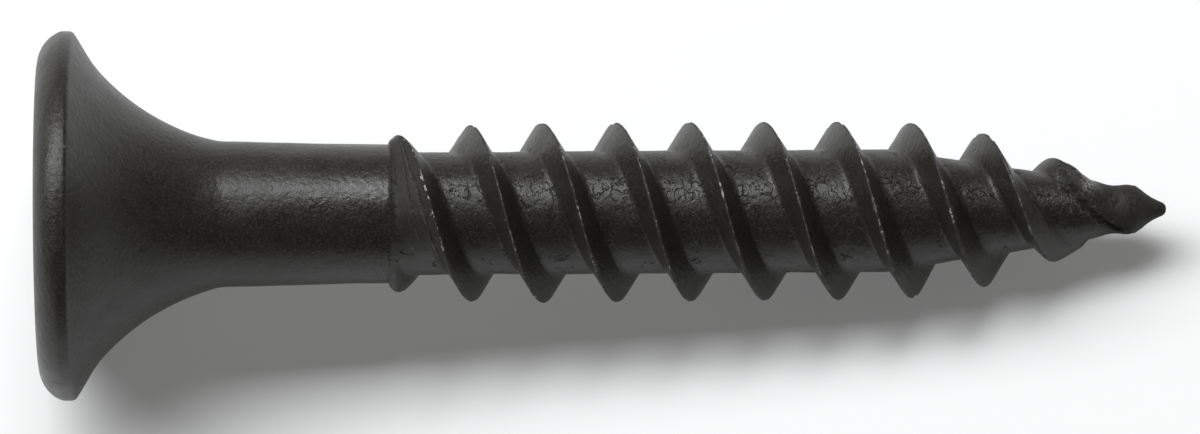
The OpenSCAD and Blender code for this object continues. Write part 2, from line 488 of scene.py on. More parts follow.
@dataclass(frozen=True)
class BlackPhosphate:
    """Matt black phosphate on rolled steel, with painted shade in its pits, laps, grooves and seam and on
    its dull stretches, and bare metal where it wears.
    """

    coat: Colour = (0.0165, 0.0148, 0.0118, 1.0)
    pale_coat: Colour = (0.0225, 0.0208, 0.0178, 1.0)
    brown_coat: Colour = (0.0145, 0.0122, 0.0090, 1.0)
    dusty_coat: Colour = (0.0420, 0.0395, 0.0355, 1.0)
    # Near-black: the colour of the painted shade, and also mixed in as dark grain.
    hollow: Colour = (0.0040, 0.0037, 0.0032, 1.0)
    worn: Colour = (0.36, 0.35, 0.33, 1.0)
    coat_share: float = 0.4
    pale_share: float = 0.6
    pale_clouds: Span = (0.36, 0.64)
    dusty_share: float = 0.7
    dusty_grains: Span = (0.50, 0.72)
    hollow_share: float = 0.4
    hollow_grains: Span = (0.48, 0.30)
    grain: Blots = Blots(0.040, 1.0, 0.6, depth=0.0038)
    leather: Blots = Blots(0.12, 2.0, 0.55, (0.38, 0.28), 0.013)
    mottle: Blots = Blots(0.45, 2.0, 0.6, depth=0.008)
    gloss: float = 0.41
    mottle_gloss: float = 0.20
    grain_gloss: float = 0.35
    burnish_gloss: float = 0.07
    crest_gloss: float = 0.25
    crest_band: Span = (0.035, 0.010)
    specular: float = 0.42
    # Painted shade in the pits of the leathery bump.
    pit_painted_shade: float = 0.16
    # Past the first level of dullness painted shade darkens the surface, fully at the second.
    dull: Span = (-0.5, -3.0)
    dull_painted_shade: float = 0.22
    # Strength of the painted shade, a near-black diffuse shader mixed over the surface.
    painted_shade: float = 0.8
    fray: Blots = Blots(0.06, 1.0, 0.6)
    fray_reach: float = 1.4
    frayed: Span = (0.42, 0.56)
    flecked: Span = (0.47, 0.54)
    specks: Cells = Cells(0.5, Measure.MIDDLE, (0.075, 0.04))
    speck_clouds: Span = (0.55, 0.62)
    speck_shine: float = 0.25
    fold_depth: float = 0.020
    # Painted shade in the fold grooves and in the point's seam.
    fold_soot: float = 0.65
    lip_shine: float = 0.3
    laps: RootLaps = RootLaps()
    folds: StartFolds = StartFolds()
    seam: PointSeam = PointSeam()
    crest_wear: CrestWear = CrestWear()

    def material(self, stretch: Stretch) -> bpy.types.Material:
        """Builds the finish of one stretch of the screw.

        Args:
            stretch: Which one.

        Returns:
            The material.
        """
        made = bpy.data.materials.new(f"black_phosphate_{stretch.value}")
        w = Wiring(made)
        place = w.mark(Mark.PLACE)
        layers = (self.grain, self.leather, self.mottle)
        noises = [layer.noise(place) for layer in layers]
        r = Reading(place, *w.parts(w.mark(Mark.THREAD)), *w.parts(w.mark(Mark.WEAR)), *noises)

        # Painted shade: dark in the pits of the leathery bump and on the dull stretches; laps, fold
        # grooves and the seam get it below.
        pits = r.leather.risen(*self.leather.edge) * self.pit_painted_shade
        dark = [pits + r.burnish.risen(*self.dull) * self.dull_painted_shade]
        bare = [self.specks.mask(place) * r.mottle.risen(*self.speck_clouds) * self.speck_shine]
        gloss = self.gloss + (r.mottle - 0.5) * self.mottle_gloss + (r.grain - 0.5) * self.grain_gloss
        gloss = gloss - r.burnish * self.burnish_gloss
        ground = sum((noise - 0.5) * layer.depth for noise, layer in zip(noises, layers))
        if stretch is not Stretch.PLAIN:
            laps, fray = self.laps.mask(r), self.fray.noise(place)
            # Painted shade in the laps.
            dark.append(laps * self.laps.painted_shade)
            bare.append(self.crest_wear.mask(r))
            bare.append((r.wear + (fray - 0.5) * self.fray_reach).risen(*self.frayed))
            bare.append(r.fleck * fray.risen(*self.flecked))
            gloss = gloss + r.off_crest.risen(*self.crest_band) * self.crest_gloss
            ground = ground - laps * self.laps.depth
        if stretch in (Stretch.START, Stretch.POINT):
            torn = self.folds if stretch is Stretch.START else self.seam
            grooves, lips = torn.masks(r)
            # Painted shade in the fold grooves, or in the point's seam.
            dark.append(grooves * self.fold_soot)
            bare.append(lips * self.lip_shine)
            ground = ground + (lips - grooves) * self.fold_depth

        bump = w.node("ShaderNodeBump", None, {"Strength": 1.0, "Distance": MM, "Height": ground})
        feeds = {"Base Color": self.colour(r, w.largest(bare)), "Roughness": gloss}
        feeds |= {"Specular IOR Level": self.specular, "Normal": w.signal(bump)}
        surface = w.node("ShaderNodeBsdfPrincipled", None, feeds)
        # Painted shade: a near-black diffuse shader mixed over the surface where the dark masks call for
        # it, taking away its highlight there.
        painted_shade = w.node("ShaderNodeBsdfDiffuse", None, {"Color": self.hollow})
        feeds = {0: w.largest(dark) * self.painted_shade, 1: w.signal(surface), 2: w.signal(painted_shade)}
        both = w.node("ShaderNodeMixShader", None, feeds)
        w.node("ShaderNodeOutputMaterial", None, {0: w.signal(both)})
        return made

    def colour(self, r: Reading, bare: Signal) -> Signal:
        """Mixes the colour of the coat.

        Args:
            r: What the finish reads.
            bare: 1 where the metal is bare.

        Returns:
            The colour, clouded and grained, with that of the metal where it is bare.
        """
        mixed = r.place.wiring.mixed
        coat = mixed(r.mottle.risen(*self.pale_clouds) * self.pale_share, self.brown_coat, self.pale_coat)
        coat = mixed(self.coat_share, coat, self.coat)
        coat = mixed(r.grain.risen(*self.dusty_grains) * self.dusty_share, coat, self.dusty_coat)
        coat = mixed(r.grain.risen(*self.hollow_grains) * self.hollow_share, coat, self.hollow)
        return mixed(bare, coat, self.worn)


# Sheet of points


class Roughcast:
    """Seeded noise in space: the sum of many waves that run in random directions."""

    def __init__(self, seed: int, waves: int = 36) -> None:
        """Draws the waves.

        Args:
            seed: Start of the random draws.
            waves: Number of waves.
        """
        draw = np.random.default_rng(seed)
        self.directions = draw.normal(size=(waves, 3))
        self.phases = draw.uniform(0, 2 * np.pi, waves)

    def at(self, places: np.ndarray, size: float) -> np.ndarray:
        """Reads the noise.

        Args:
            places: Points, with their three coordinates last.
            size: Width of its lumps, in the unit of the points.

        Returns:
            A number for each point, mostly from -2 to 2.
        """
        turns = np.tensordot(places / size * 2.0, self.directions, axes=(-1, 1)) + self.phases
        return np.sin(turns).sum(axis=-1) * math.sqrt(2 / len(self.phases))

    def layers(self, places: np.ndarray, *layers: Span) -> np.ndarray:
        """The sum of some layers of the noise, each given by its height and size."""
        return sum(height * self.at(places, size) for height, size in layers)


def eased(share: np.ndarray) -> np.ndarray:
    """A smooth rise from 0 to 1."""
    x = np.clip(share, 0, 1)
    return x * x * (3 - 2 * x)


def rise(values: np.ndarray, span: Span) -> np.ndarray:
    """A smooth rise from 0 at the span's first number to 1 at its second."""
    return eased((values - span[0]) / (span[1] - span[0]))


def within(values: np.ndarray, window: Window) -> np.ndarray:
    """1 between the middle two numbers of a window, fading to 0 at its ends."""
    return rise(values, window[:2]) * rise(values, window[:1:-1])


def lump(distance: np.ndarray, width: float) -> np.ndarray:
    """A smooth lump, 1 at its middle and mostly gone past its width."""
    return np.exp(-((distance / width) ** 2))


def turn_between(angle: np.ndarray, turn: float | np.ndarray) -> np.ndarray:
    """How far an angle is past a turn, the short way round."""
    return np.angle(np.exp(1j * (angle - turn)))


def facing(angle: np.ndarray, side: Span) -> np.ndarray:
    """A smooth lump on one side of the screw, given by its turn and width."""
    return lump(turn_between(angle, side[0]), side[1])


def spun(radii: np.ndarray, angles: np.ndarray, along: np.ndarray) -> np.ndarray:
    """Points on the screw from their radius, angle and distance from the face."""
    parts = np.broadcast_arrays(radii * np.cos(angles), radii * np.sin(angles), along)
    return np.stack(parts, axis=-1)


def arc(centre: complex, radius: float, start: float, stop: float, steps: int = 60) -> np.ndarray:
    """Points on a circle, as complex numbers, from one angle to another."""
    return centre + radius * np.exp(1j * np.linspace(start, stop, steps + 1))


@dataclass(frozen=True)
class Softener:
    """Rounds the corners of a profile and spaces its rows by how fast it bends."""

    blur: float = 0.035
    fine_step: float = 0.004
    longest_row: float = 0.30
    turn_per_row: float = math.radians(6.5)

    def rows(self, outline: np.ndarray) -> np.ndarray:
        """Spaces rows along an outline.

        Args:
            outline: Its corners, each as radius + 1j * distance from the face.

        Returns:
            Points on the rounded outline, its first and last kept.
        """
        walked = np.concatenate([[0], np.cumsum(np.abs(np.diff(outline)))])
        fine = np.linspace(0, walked[-1], int(walked[-1] / self.fine_step) + 1)
        line = np.interp(fine, walked, outline)
        reach = int(3 * self.blur / self.fine_step)
        weights = lump(np.arange(-reach, reach + 1) * self.fine_step, math.sqrt(2) * self.blur)
        ends = [2 * line[0] - line[reach:0:-1], line, 2 * line[-1] - line[-2 : -reach - 2 : -1]]
        smooth = np.convolve(np.concatenate(ends), weights / weights.sum(), "valid")
        heading = np.unwrap(np.angle(np.diff(smooth)))
        bend = np.abs(np.diff(heading, prepend=heading[0]))
        pace = self.fine_step / self.longest_row + bend / self.turn_per_row
        passed = np.concatenate([[0], np.cumsum(pace)])
        spots = np.linspace(0, passed[-1], math.ceil(passed[-1]) + 1)
        numbers = np.arange(len(smooth))
        return np.interp(np.interp(spots, passed, numbers), numbers, smooth)


@dataclass(frozen=True)
class BugleHead:
    """The head: a flat face, a rounded edge, a narrow rim and a hollow flare into the shank."""

    diameter: float = 8.2
    edge_width: float = 0.75
    edge_height: float = 0.52
    rim_width: float = 0.74
    back_radius: float = 0.12
    flare_radius: float = 5.0
    neck_fillet: float = 1.2
    neck_diameter: float = 3.22
    length: float = 4.2

    def face_radius(self) -> float:
        """Radius of the flat part of the face."""
        return self.diameter / 2 - self.edge_width

    def flare_centre(self, neck: complex) -> complex:
        """Centre of the hollow flare, which passes the rim's sharp back edge and touches the fillet.

        Args:
            neck: Centre of the fillet.

        Returns:
            The centre, as radius + 1j * distance from the face.
        """
        rim = complex(self.diameter / 2, self.rim_width)
        apart = abs(neck - rim)
        big, small = self.flare_radius, self.neck_fillet
        reach = (big**2 - (big - small) ** 2 + apart**2) / (2 * apart)
        return rim + (reach - 1j * math.sqrt(big**2 - reach**2)) * (neck - rim) / apart

    def outline(self, shank_diameter: float, shank_end: float) -> np.ndarray:
        """Profile from the edge of the flat face to the end of the shank.

        Args:
            shank_diameter: Diameter where the thread begins.
            shank_end: Where that is.

        Returns:
            Points, each as radius + 1j * distance from the face.
        """
        edge_r = (self.edge_width**2 + self.edge_height**2) / (2 * self.edge_height)
        edge = complex(self.face_radius(), edge_r)
        edge_stop = math.atan2(self.edge_height - edge_r, self.edge_width)
        neck = complex(self.neck_diameter / 2 + self.neck_fillet, self.length)
        flare = self.flare_centre(neck)
        across = self.diameter / 2 - self.back_radius - flare.real
        back = flare + complex(across, -math.sqrt((self.flare_radius + self.back_radius) ** 2 - across**2))
        to_flare = np.angle(flare - back)
        to_neck = np.angle(neck - flare) % (2 * np.pi)
        arcs = [
            arc(edge, edge_r, -np.pi / 2, edge_stop),
            arc(back, self.back_radius, 0, to_flare),
            arc(flare, self.flare_radius, to_flare + np.pi, to_neck),
            arc(neck, self.neck_fillet, to_neck, np.pi),
        ]
        return np.concatenate([*arcs, [complex(shank_diameter / 2, shank_end)]])


@dataclass(frozen=True)
class CrossRecess:
    """The cross recess for a driver: four wings that narrow to their foot round a tapering core."""

    width: float = 4.7
    depth: float = 2.2
    taper: float = math.radians(26.5)
    wing: float = 1.1
    draft: float = math.radians(3)
    core: float = 2.0
    floor_slope: float = math.radians(28)
    floor_inset: float = 0.97
    mouth: float = 0.09
    cone_rows: int = 5
    floor_rows: int = 3
    wall_rows: int = 9
    mouth_rows: int = 3
    face_rows: int = 9
    tip_share: float = 0.26
    side_share: float = 0.5
    smoothings: int = 3

    def core_radius(self, depth: float) -> float:
        """Radius of the round core at a depth."""
        return self.core / 2 - depth * math.tan(self.draft)

    def cone_depth(self) -> float:
        """How far the sloped floor falls to its middle."""
        return self.core_radius(self.depth) * math.tan(self.floor_slope)

    def outline(self, depth: float, columns: int) -> np.ndarray:
        """The recess seen from its mouth, cut at one depth.

        Args:
            depth: Distance from the face.
            columns: Number of points, a multiple of 8.

        Returns:
            Its points as complex numbers, starting at the middle of a wing's end.
        """
        half_w = self.width / 2 - depth * math.tan(self.taper)
        half_t = self.wing / 2 - depth * math.tan(self.draft)
        core = self.core_radius(depth)
        part = columns // 8
        tip, side = round(self.tip_share * part), round(self.side_share * part)
        inner = complex(math.sqrt(core**2 - half_t**2), half_t)
        turn = np.linspace(np.angle(inner), np.pi / 4, part - tip - side + 1)
        end = half_w + 1j * np.linspace(0, half_t, tip, endpoint=False)
        flank = np.linspace(complex(half_w, half_t), inner, side, endpoint=False)
        octant = np.concatenate([end, flank, core * np.exp(1j * turn)])
        mirrored = 1j * np.conj(octant[::-1])
        quarter = np.concatenate([octant[:-1], mirrored[:-1]])
        loop = np.concatenate([quarter * 1j**k for k in range(4)])
        for _ in range(self.smoothings):
            loop = 0.5 * loop + 0.25 * (np.roll(loop, 1) + np.roll(loop, -1))
        return loop

    def rings(self, columns: int, face_radius: float) -> list[np.ndarray]:
        """Rings from the bottom of the recess, up its walls and out over the face.

        Args:
            columns: Points in a ring.
            face_radius: Radius of the flat of the face.

        Returns:
            The rings, each a row of points in millimetres.
        """
        circle = np.exp(2j * np.pi * np.arange(columns) / columns)
        core = circle * self.core_radius(self.depth)
        foot, rim = self.outline(self.depth, columns), self.outline(0, columns)
        ahead = np.roll(rim, -1) - np.roll(rim, 1)
        outward = -1j * ahead / np.abs(ahead) * self.mouth
        cone = np.arange(self.cone_rows) / self.cone_rows
        floor = np.arange(self.floor_rows + 1) / self.floor_rows
        walls = self.depth + (self.mouth - self.depth) * np.arange(1, self.wall_rows) / self.wall_rows
        leans = np.pi / 2 * np.arange(self.mouth_rows + 1) / self.mouth_rows
        face = np.arange(1, self.face_rows) / self.face_rows

        loops = [(core * share, self.depth + self.cone_depth() * (1 - share)) for share in cone]
        loops += [(core * self.floor_inset * (1 - share) + foot * share, self.depth) for share in floor]
        loops += [(self.outline(depth, columns), depth) for depth in walls]
        loops += [(rim + outward * (1 - np.cos(lean)), self.mouth * (1 - np.sin(lean))) for lean in leans]
        loops += [((rim + outward) * (1 - share) + circle * face_radius * share, 0) for share in face]
        return [np.stack([loop.real, loop.imag, loop.real * 0 + depth], axis=-1) for loop, depth in loops]


@dataclass(frozen=True)
class PinchedPoint:
    """What pinching left near the point: a torn seam, a flap, a torn sheet and a waist before the nose."""

    marks: RolledMarks = RolledMarks()
    seam_waver: float = 0.030
    seam_waves: float = 0.14
    seam_depth: float = 0.055
    seam_width: float = 0.065
    elsewhere: float = 9.0
    before: float = 0.1
    split: Span = (22.50, 22.75)
    flap_height: float = 0.006
    flap_side: float = 0.11
    flap_width: float = 0.06
    flap_tear: float = 0.7
    flap_tears: float = 0.16
    flap_flecks: Span = (0.010, 0.015)
    flap_shine: float = 0.3
    end_height: float = 0.07
    end_length: Window = (22.55, 23.05, 23.13, 23.22)
    end_side: Span = (math.radians(200), 0.5625)
    sheet_height: float = 0.05
    sheet_length: Window = (22.72, 22.90, 23.00, 23.10)
    sheet_side: Span = (math.radians(28), 0.60)
    corner_side: Span = (math.radians(64), 0.25)
    corner_along: Span = (23.27, 0.12)
    corner_shine: float = 0.7
    waist: tuple[tuple[float, float, float], ...] = ((0.052, 23.74, 0.27), (-0.024, 24.12, 0.16))
    # Dullness of the nose, the strip beside the seam and the torn sheet: rougher, and darkened with
    # painted shade.
    dull: float = 3.4
    dull_nose: Span = (23.3, 23.8)
    dull_side: Span = (-0.22, 0.20)
    dull_sheet: float = 2.0

    def relief(
        self, place: np.ndarray, angle: np.ndarray, rough: Roughcast, dents: Roughcast
    ) -> tuple[np.ndarray, np.ndarray, np.ndarray]:
        """Adds what the pinching left.

        Args:
            place: Points on the screw.
            angle: Their angles round the axis.
            rough: Noise that makes the seam waver.
            dents: Noise that tears the flap.

        Returns:
            Height to add, how dull the surface is (rougher, and darkened with painted shade), and how
            flecked, from 0 to 1.
        """
        m, along = self.marks, place[..., 2]
        passed = along - m.seam_from
        flat, steep, bent = m.seam_turn
        seam = turn_between(angle, flat + steep * passed + bent * passed * passed) * m.seam_radius
        seam += self.seam_waver * rough.at(place, self.seam_waves)
        seam += self.elsewhere * ((passed < -self.before) | (along > m.seam_to))
        split = rise(along, self.split)
        torn = self.seam_depth * lump(seam, self.seam_width) * split
        flap = self.flap_height * lump(seam + self.flap_side, self.flap_width) * split
        flap *= 1 + self.flap_tear * dents.at(place, self.flap_tears)
        ending = within(along, self.end_length) * facing(angle, self.end_side)
        sheet = within(along, self.sheet_length) * facing(angle, self.sheet_side)
        waist = sum(depth * lump(along - middle, width) for depth, middle, width in self.waist)
        height = flap + self.end_height * ending + self.sheet_height * sheet - torn - waist

        # The nose and the strip beside the seam are dull: rougher, and darkened with painted shade.
        side, width = self.dull_side
        dull = self.dull * (rise(along, self.dull_nose) + lump(seam - side, width) * split)
        middle, width = self.corner_along
        corner = facing(angle, self.corner_side) * lump(along - middle, width) * self.corner_shine
        fleck = np.maximum(rise(flap, self.flap_flecks) * self.flap_shine, corner)
        return height, dull + self.dull_sheet * sheet, fleck


@dataclass(frozen=True)
class TwinThread:
    """The rolled length: two threads wound side by side from the shank to the pinched point."""

    marks: RolledMarks = RolledMarks()
    point: PinchedPoint = PinchedPoint()
    length: float = 25.0
    shank_diameter: float = 3.08
    crest_diameter: float = 4.0
    core_diameter: float = 2.72
    crest_width: float = 0.012
    flank_angle: float = math.radians(28.5)
    root_fillet: float = 0.11
    crest_blur: float = 0.009
    tooth_step: float = 0.002
    tooth_steps: int = 500
    blur_steps: int = 50
    fillet_steps: int = 24
    tooth_reach: float = 0.9
    run_in: float = 3.3
    run_in_power: float = 0.4
    first: float = 7.78
    ledge: float = 0.03
    shoulder: float = 0.45
    taper: float = 6.2
    crest_cone: float = 4.6
    crest_cone_angle: float = math.radians(21)
    crest_bend: float = 0.8
    pinched: Span = (23.0, 23.55)
    pinch_loss: float = 0.85
    nose: float = 0.75
    nose_diameter: float = 1.04
    tip_spread: float = 1.38
    half_gap_rows: int = 16
    crowding: float = 1.45
    bends: tuple[tuple[float, Span], ...] = (
        (0.06, (21.4, 22.4)),
        (-0.21, (22.5, 23.25)),
        (0.05, (23.3, 23.9)),
        (-0.05, (10.6, 9.4)),
        (-0.012, (8.6, 8.0)),
    )
    ramp_wait: float = 0.15
    ramp_least: float = 0.05
    ramp_dip: float = 0.14
    ramp_dips: Span = (8.0, 8.3)
    ramp_length: Window = (7.9, 8.1, 8.75, 9.30)
    # How dull the ramp is: rougher, and darkened with painted shade.
    ramp_dull: float = 3.5
    fold_height: float = 0.013
    fold_width: float = 0.09
    fold_length: Window = (7.95, 8.20, 9.20, 9.65)
    fold_foot: float = 0.12
    waver: tuple[Span, ...] = ((0.010, 1.3), (0.004, 0.45))
    wavered: float = 0.3
    least_share: float = 0.6
    chip_depth: float = 0.035
    chip_size: float = 0.40
    chip_edge: Span = (1.25, 1.85)
    chip_crest: Span = (0.9, 0.98)
    chip_shine: float = 0.35
    nicks: tuple[tuple[float, float, float, float], ...] = (
        (17.55, 0.03, 0.08, 0.055),
        (9.43, 0.03, 0.10, 0.20),
        (12.63, 0.35, 0.03, 0.10),
        (14.30, 3.30, 0.04, 0.10),
    )
    burrs: tuple[Span, ...] = (
        (8.536, 0.022),
        (8.613, 0.022),
        (8.674, 0.010),
        (8.770, 0.012),
        (8.985, 0.015),
    )
    burr_height: float = 0.02
    burr_side: Span = (-0.008, 0.036)
    burr_turn: float = 0.5
    burr_shine: float = 0.9
    uneven: Span = (0.0035, 0.5)
    grain: Span = (0.002, 0.2)
    settling: float = 0.4
    rough: Roughcast = field(default_factory=lambda: Roughcast(11))
    dents: Roughcast = field(default_factory=lambda: Roughcast(12))

    def nose_start(self) -> float:
        """Where the nose begins."""
        return self.length - self.nose

    def core_at(self, along: np.ndarray) -> np.ndarray:
        """Radius of the core.

        Args:
            along: Distance from the face.

        Returns:
            The radius: down from the shank, level, then tapering to the nose.
        """
        core, shank, nose = self.core_diameter / 2, self.shank_diameter / 2, self.nose_diameter / 2
        shoulder = (shank - core) * (1 - eased((along - self.first + self.ledge) / self.shoulder))
        taper_start = self.length - self.taper
        share = np.maximum(0, along - taper_start) / (self.nose_start() - taper_start)
        return core + shoulder - share * (core - nose)

    def crest_at(self, along: np.ndarray) -> np.ndarray:
        """Radius of a fully grown crest, which bends into the cone of the point."""
        x = along - (self.length - self.crest_cone)
        drop = math.tan(self.crest_cone_angle) * (x + np.hypot(x, self.crest_bend)) / 2
        return self.crest_diameter / 2 - drop

    def height_at(self, along: np.ndarray) -> np.ndarray:
        """Height of a thread over the core, climbing fast out of the shank."""
        climbed = np.clip((along - self.marks.start) / self.run_in, 0, 1)
        climb = np.sin(np.pi / 2 * climbed**self.run_in_power)
        return climb * np.maximum(0, self.crest_at(along) - self.core_at(along))

    def tooth(self) -> tuple[np.ndarray, np.ndarray]:
        """Half of a tooth, with its crest softened.

        Returns:
            Distances from the crest, and the share of the height there.
        """
        full = (self.crest_diameter - self.core_diameter) / 2
        flank = full - self.root_fillet * (1 - math.sin(self.flank_angle))
        foot = self.crest_width / 2 + flank * math.tan(self.flank_angle)
        foot += self.root_fillet * math.cos(self.flank_angle)
        lean = np.linspace(self.flank_angle, math.pi / 2, self.fillet_steps)
        off = np.concatenate([[0, self.crest_width / 2], foot - self.root_fillet * np.cos(lean)])
        share = np.concatenate([[1, 1], self.root_fillet * (1 - np.sin(lean)) / full])
        fine = np.arange(-self.tooth_steps, self.tooth_steps) * self.tooth_step
        raw = np.interp(np.abs(fine), off, share)
        near = np.arange(-self.blur_steps, self.blur_steps + 1) * self.tooth_step
        spread = lump(near, math.sqrt(2) * self.crest_blur)
        soft = np.convolve(raw, spread / spread.sum(), "same")
        half = (fine >= 0) & (fine < self.tooth_reach)
        return fine[half], soft[half] / soft[half].max()

    def spread_at(self, crest: np.ndarray) -> np.ndarray:
        """How much wider the flank towards the tip is, for a crest near the point."""
        cone_start = self.length - self.crest_cone
        share = np.clip((crest - cone_start) / (self.nose_start() - cone_start), 0, 1)
        return 1 + (self.tip_spread - 1) * share

    def pull_at(self, along: np.ndarray) -> np.ndarray:
        """How far the crests are bent where they start and where the point was pinched."""
        return sum(amount * rise(along, span) for amount, span in self.bends)

    def ramp(self, along: np.ndarray, crest_along: np.ndarray) -> tuple[np.ndarray, np.ndarray]:
        """The plain slope from the end of the shank up to the first crest.

        Args:
            along: Distance from the face.
            crest_along: That of the nearest crest.

        Returns:
            Its radius, and how fully it stands there, from 0 to 1.
        """
        waits = crest_along < self.marks.start + self.ramp_wait
        ahead = np.where(waits, crest_along + self.marks.crest_gap, crest_along)
        share = np.clip((along - self.first) / np.maximum(ahead - self.first, self.ramp_least), 0, 1)
        top = self.core_at(ahead) + self.height_at(ahead)
        foot = self.shank_diameter / 2 - self.ramp_dip * rise(ahead, self.ramp_dips)
        return foot + share * (top - foot), within(ahead, self.ramp_length) * (along <= ahead)

    def broken(self, crest_place: np.ndarray, crest_along: np.ndarray, angle: np.ndarray) -> np.ndarray:
        """How deep the crest is chipped.

        Args:
            crest_place: Nearest point on the crest's cylinder.
            crest_along: Its distance from the face.
            angle: Its angle round the axis.

        Returns:
            The depth of small chips here and there, and of a few nicks.
        """
        chips = self.chip_depth * rise(self.dents.at(crest_place, self.chip_size), self.chip_edge)
        for along, turn, depth, width in self.nicks:
            apart = turn_between(angle, turn) * self.crest_diameter / 2
            chips += depth * lump(np.hypot(apart, crest_along - along), width)
        return chips

    def folded(self, off: np.ndarray, crest_along: np.ndarray) -> np.ndarray:
        """Depth of the folds beside the first crest, which step down from it."""
        steps = sum(eased(0.5 + (off - shift) / self.fold_width) for shift in self.marks.fold_shifts)
        steps = self.fold_height * steps * within(crest_along, self.fold_length)
        return steps * (off < 0) * eased(-off / self.fold_foot)

    def burred(self, off: np.ndarray, crest_along: np.ndarray, angle: np.ndarray) -> np.ndarray:
        """Torn bits on the first crest.

        Args:
            off: Distance from the crest.
            crest_along: The crest's distance from the face.
            angle: Angle round the axis.

        Returns:
            1 on a torn bit.
        """
        first_turn = (crest_along - self.marks.start) / self.marks.lead() * 2 * np.pi
        on_first = np.abs(turn_between(angle, first_turn)) < self.burr_turn
        bits = sum(lump(crest_along - spot, width) for spot, width in self.burrs)
        side, width = self.burr_side
        return np.clip(bits * on_first, 0, 1) * lump(off - side, width)

    def skin(self, along: np.ndarray, angle: np.ndarray) -> tuple[np.ndarray, np.ndarray]:
        """Points on the rolled length, with what its finish reads.

        Args:
            along: Distance from the face.
            angle: Angle round the axis.

        Returns:
            The points, and their marks: own place, thread place and wear.
        """
        m = self.marks
        nominal = along + self.pull_at(along)
        turned = (nominal - m.start - m.lead() * angle / (2 * np.pi)) / m.crest_gap
        off = (turned - np.round(turned)) * m.crest_gap
        crest_along = along - off
        spread = np.where(off > 0, self.spread_at(crest_along), 1)
        tooth = np.interp(np.abs(off) / spread, *self.tooth())
        core = self.core_at(along)
        height = self.height_at(along) * (1 - self.pinch_loss * rise(crest_along, self.pinched))

        crest_place = spun(np.full_like(along, self.crest_diameter / 2), angle, crest_along)
        chips = self.broken(crest_place, crest_along, angle)
        top = height + (self.rough.layers(crest_place, *self.waver) - chips) * eased(height / self.wavered)
        raised = np.minimum(height * tooth, np.maximum(top, self.least_share * height))
        ramp, on_ramp = self.ramp(along, crest_along)
        raised += on_ramp * (np.maximum(ramp - core, raised) - raised)

        place = spun(core + raised, angle, along)
        pinched, dull, fleck = self.point.relief(place, angle, self.rough, self.dents)
        burr = self.burred(off, crest_along, angle)
        uneven = self.rough.layers(place, self.uneven) + self.dents.layers(place, self.grain)
        uneven = uneven * eased((along - m.start) / self.settling)
        lifted = pinched + self.burr_height * burr + uneven - self.folded(off, crest_along)
        places = spun(core + raised + lifted, angle, along)

        bare = np.clip(chips / self.chip_depth, 0, 1) * rise(tooth, self.chip_crest) * self.chip_shine
        wear = np.maximum(bare, burr * self.burr_shine)
        # Burnish: smoother just past the shank; below 0 the skin is rougher and darkened with painted
        # shade, on the ramp, the nose and beside the seam.
        burnish = (1 - eased((along - self.first) / self.settling)) * (1 - on_ramp)
        burnish = burnish - self.ramp_dull * on_ramp - dull
        marks = [np.abs(off), raised, facing(angle, m.laps), wear, burnish, fleck]
        return places, np.concatenate([places, np.stack(marks, axis=-1)], axis=-1)

    def rows(self, columns: int) -> np.ndarray:
        """Distances from the face of every point in the wound block.

        Args:
            columns: Columns round the screw.

        Returns:
            One row of numbers for each column, rising.
        """
        m = self.marks
        steps = np.arange(1, self.half_gap_rows + 1) / self.half_gap_rows
        half = m.crest_gap / 2 * steps**self.crowding
        off = np.concatenate([-half[-2::-1], [0], half])
        below = m.starts + 1
        count = below + math.ceil((self.nose_start() - m.start) / m.crest_gap) + 1
        climb = m.lead() * np.arange(columns) / columns
        crest = m.start + (np.arange(count) - below) * m.crest_gap
        crest = crest[None, :, None] + climb[:, None, None]
        spread = np.where(off > 0, self.spread_at(crest), 1)
        spread = 1 + (spread - 1) * (1 - np.abs(off) / (m.crest_gap / 2))
        rows = (crest + off * spread).reshape(columns, -1)
        pulled = rows - self.pull_at(rows - self.pull_at(rows))
        return np.clip(pulled, self.first, self.nose_start())


@dataclass(frozen=True)
class Nose:
    """The blunt nose past the thread, full at first, then hollow towards its small round end."""

    start: float = 24.25
    start_radius: float = 0.52
    softener: Softener = Softener(blur=0.02, longest_row=0.06)
    blend: float = 0.15
    stations: tuple[Span, ...] = (
        (0.527, 24.25),
        (0.514, 24.32),
        (0.452, 24.42),
        (0.345, 24.55),
        (0.252, 24.69),
        (0.188, 24.82),
        (0.140, 24.93),
        (0.085, 24.985),
        (0.0, 25.0),
    )

    def skin(self, last: np.ndarray, angle: np.ndarray) -> np.ndarray:
        """Points on the nose.

        Args:
            last: The last ring of the rolled length.
            angle: Angle of each column.

        Returns:
            The points by column and row, from that ring to the middle of the tip.
        """
        rows = self.softener.rows(np.array(self.stations) @ [1, 1j])[1:]
        extra = np.hypot(last[:, 0], last[:, 1]) - self.start_radius
        radii = rows.real + extra[:, None] * (1 - eased((rows.imag - self.start) / self.blend))
        radii[:, -1] = 0
        return np.concatenate([last[:, None], spun(radii, angle[:, None], rows.imag)], axis=1)


